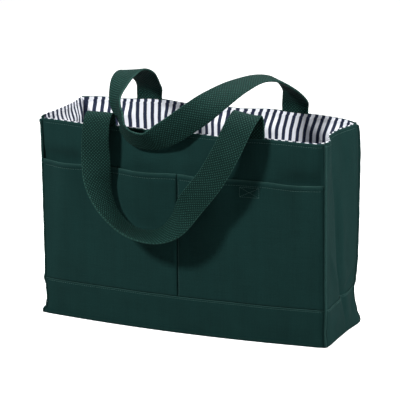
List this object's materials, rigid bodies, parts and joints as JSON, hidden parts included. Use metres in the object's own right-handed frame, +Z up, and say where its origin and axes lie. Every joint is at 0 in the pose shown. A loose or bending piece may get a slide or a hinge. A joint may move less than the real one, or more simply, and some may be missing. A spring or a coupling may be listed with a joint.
{
  "type": "garden tool tote bag",
  "caption": "Open-topped canvas box tote for hand tools, with a striped lining, front pockets, a doubled band round the foot and webbing handles that swing up.",
  "frame": {"origin": "middle of the underside, on the surface that the bag stands on", "axes": "+X along the width, to the right as seen from the front; the front with the pockets faces -Y; +Z up"},
  "size_m": [0.414, 0.2037, 0.3406],
  "materials": {
    "canvas": "matt cotton canvas, bottle green",
    "webbing": "matt cotton webbing, bottle green",
    "ticking": "matt cotton ticking, white with navy stripes",
    "thread": "matt cotton thread, green"
  },
  "bodies": {
    "bag": {"front_panel": "canvas", "back_panel": "canvas", "left_gusset": "canvas", "right_gusset": "canvas", "base_panel": "canvas", "front_band": "canvas", "back_band": "canvas", "left_band": "canvas", "right_band": "canvas", "left_pocket": "canvas", "right_pocket": "canvas", "front_left_welt": "canvas", "front_right_welt": "canvas", "back_left_welt": "canvas", "back_right_welt": "canvas", "front_lining": "ticking", "back_lining": "ticking", "left_lining": "ticking", "right_lining": "ticking", "base_lining": "ticking", "front_handle_left_end": "webbing", "front_handle_right_end": "webbing", "back_handle_left_end": "webbing", "back_handle_right_end": "webbing", "rim_stitching": "thread", "band_stitching": "thread", "pocket_hem_stitching": "thread", "pocket_divider_stitching": "thread", "front_handle_cross_stitching": "thread", "back_handle_cross_stitching": "thread"},
    "front_handle": {"front_handle": "webbing"},
    "back_handle": {"back_handle": "webbing"}
  },
  "joints": [
    {"name": "front_handle_swing", "type": "hinge", "parent": "bag", "child": "front_handle", "pos_m": [0, -0.072, 0.30422], "axis": [-0.9965, 0, -0.0835], "range_deg": [0, 155]},
    {"name": "back_handle_swing", "type": "hinge", "parent": "bag", "child": "back_handle", "pos_m": [0, 0.079, 0.2826], "axis": [-1, 0, 0], "range_deg": [0, 135]}
  ]
}
